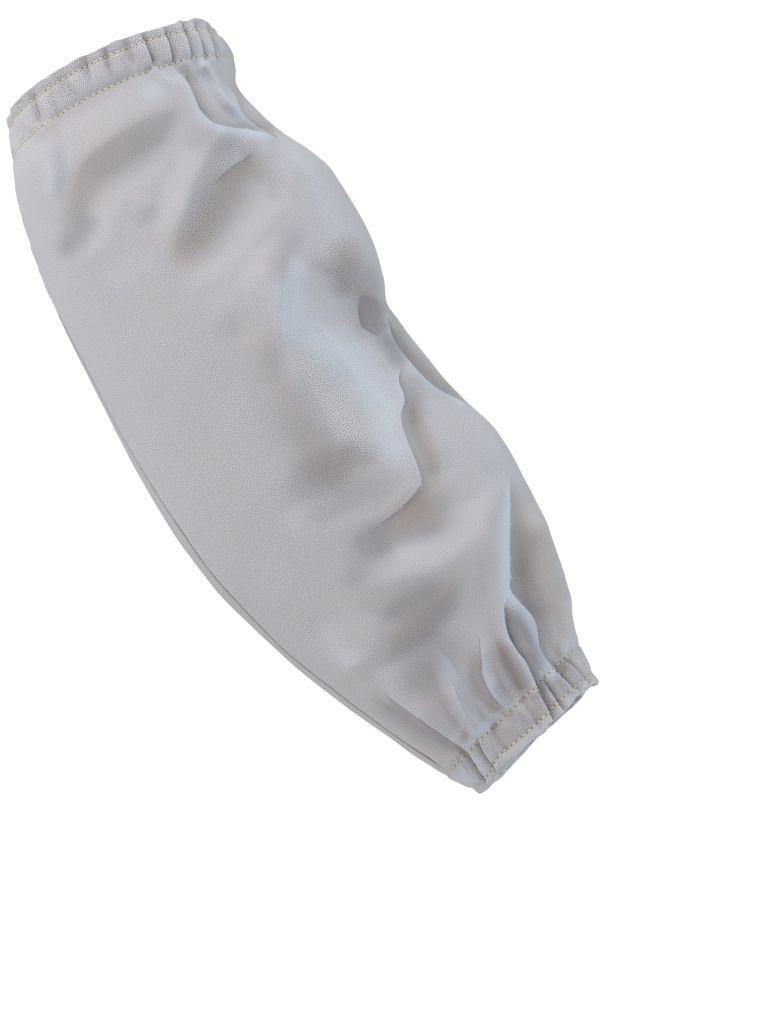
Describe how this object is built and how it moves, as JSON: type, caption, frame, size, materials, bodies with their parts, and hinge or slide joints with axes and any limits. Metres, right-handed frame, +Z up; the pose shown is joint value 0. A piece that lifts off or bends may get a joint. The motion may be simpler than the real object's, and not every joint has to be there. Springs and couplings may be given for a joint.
{
  "type": "split leather sleeve",
  "caption": "Grey split leather work sleeve in its worn form: a loose bent tube with a long seam and elastic casings at the upper arm and the wrist.",
  "frame": {"origin": "centre of the upper elastic casing, where the sleeve grips the upper arm", "axes": "+Z up the arm from the wrist to the shoulder, -Y out of the face with the long front folds, +X towards the crook of the elbow"},
  "size_m": [0.1663, 0.1072, 0.4146],
  "materials": {
    "leather": "napped suede split",
    "elastic": "woven elastic",
    "thread": "twisted yellow thread"
  },
  "bodies": {
    "root": {"sleeve_panel": "leather", "upper_elastic": "elastic", "wrist_elastic": "elastic"}
  },
  "joints": []
}
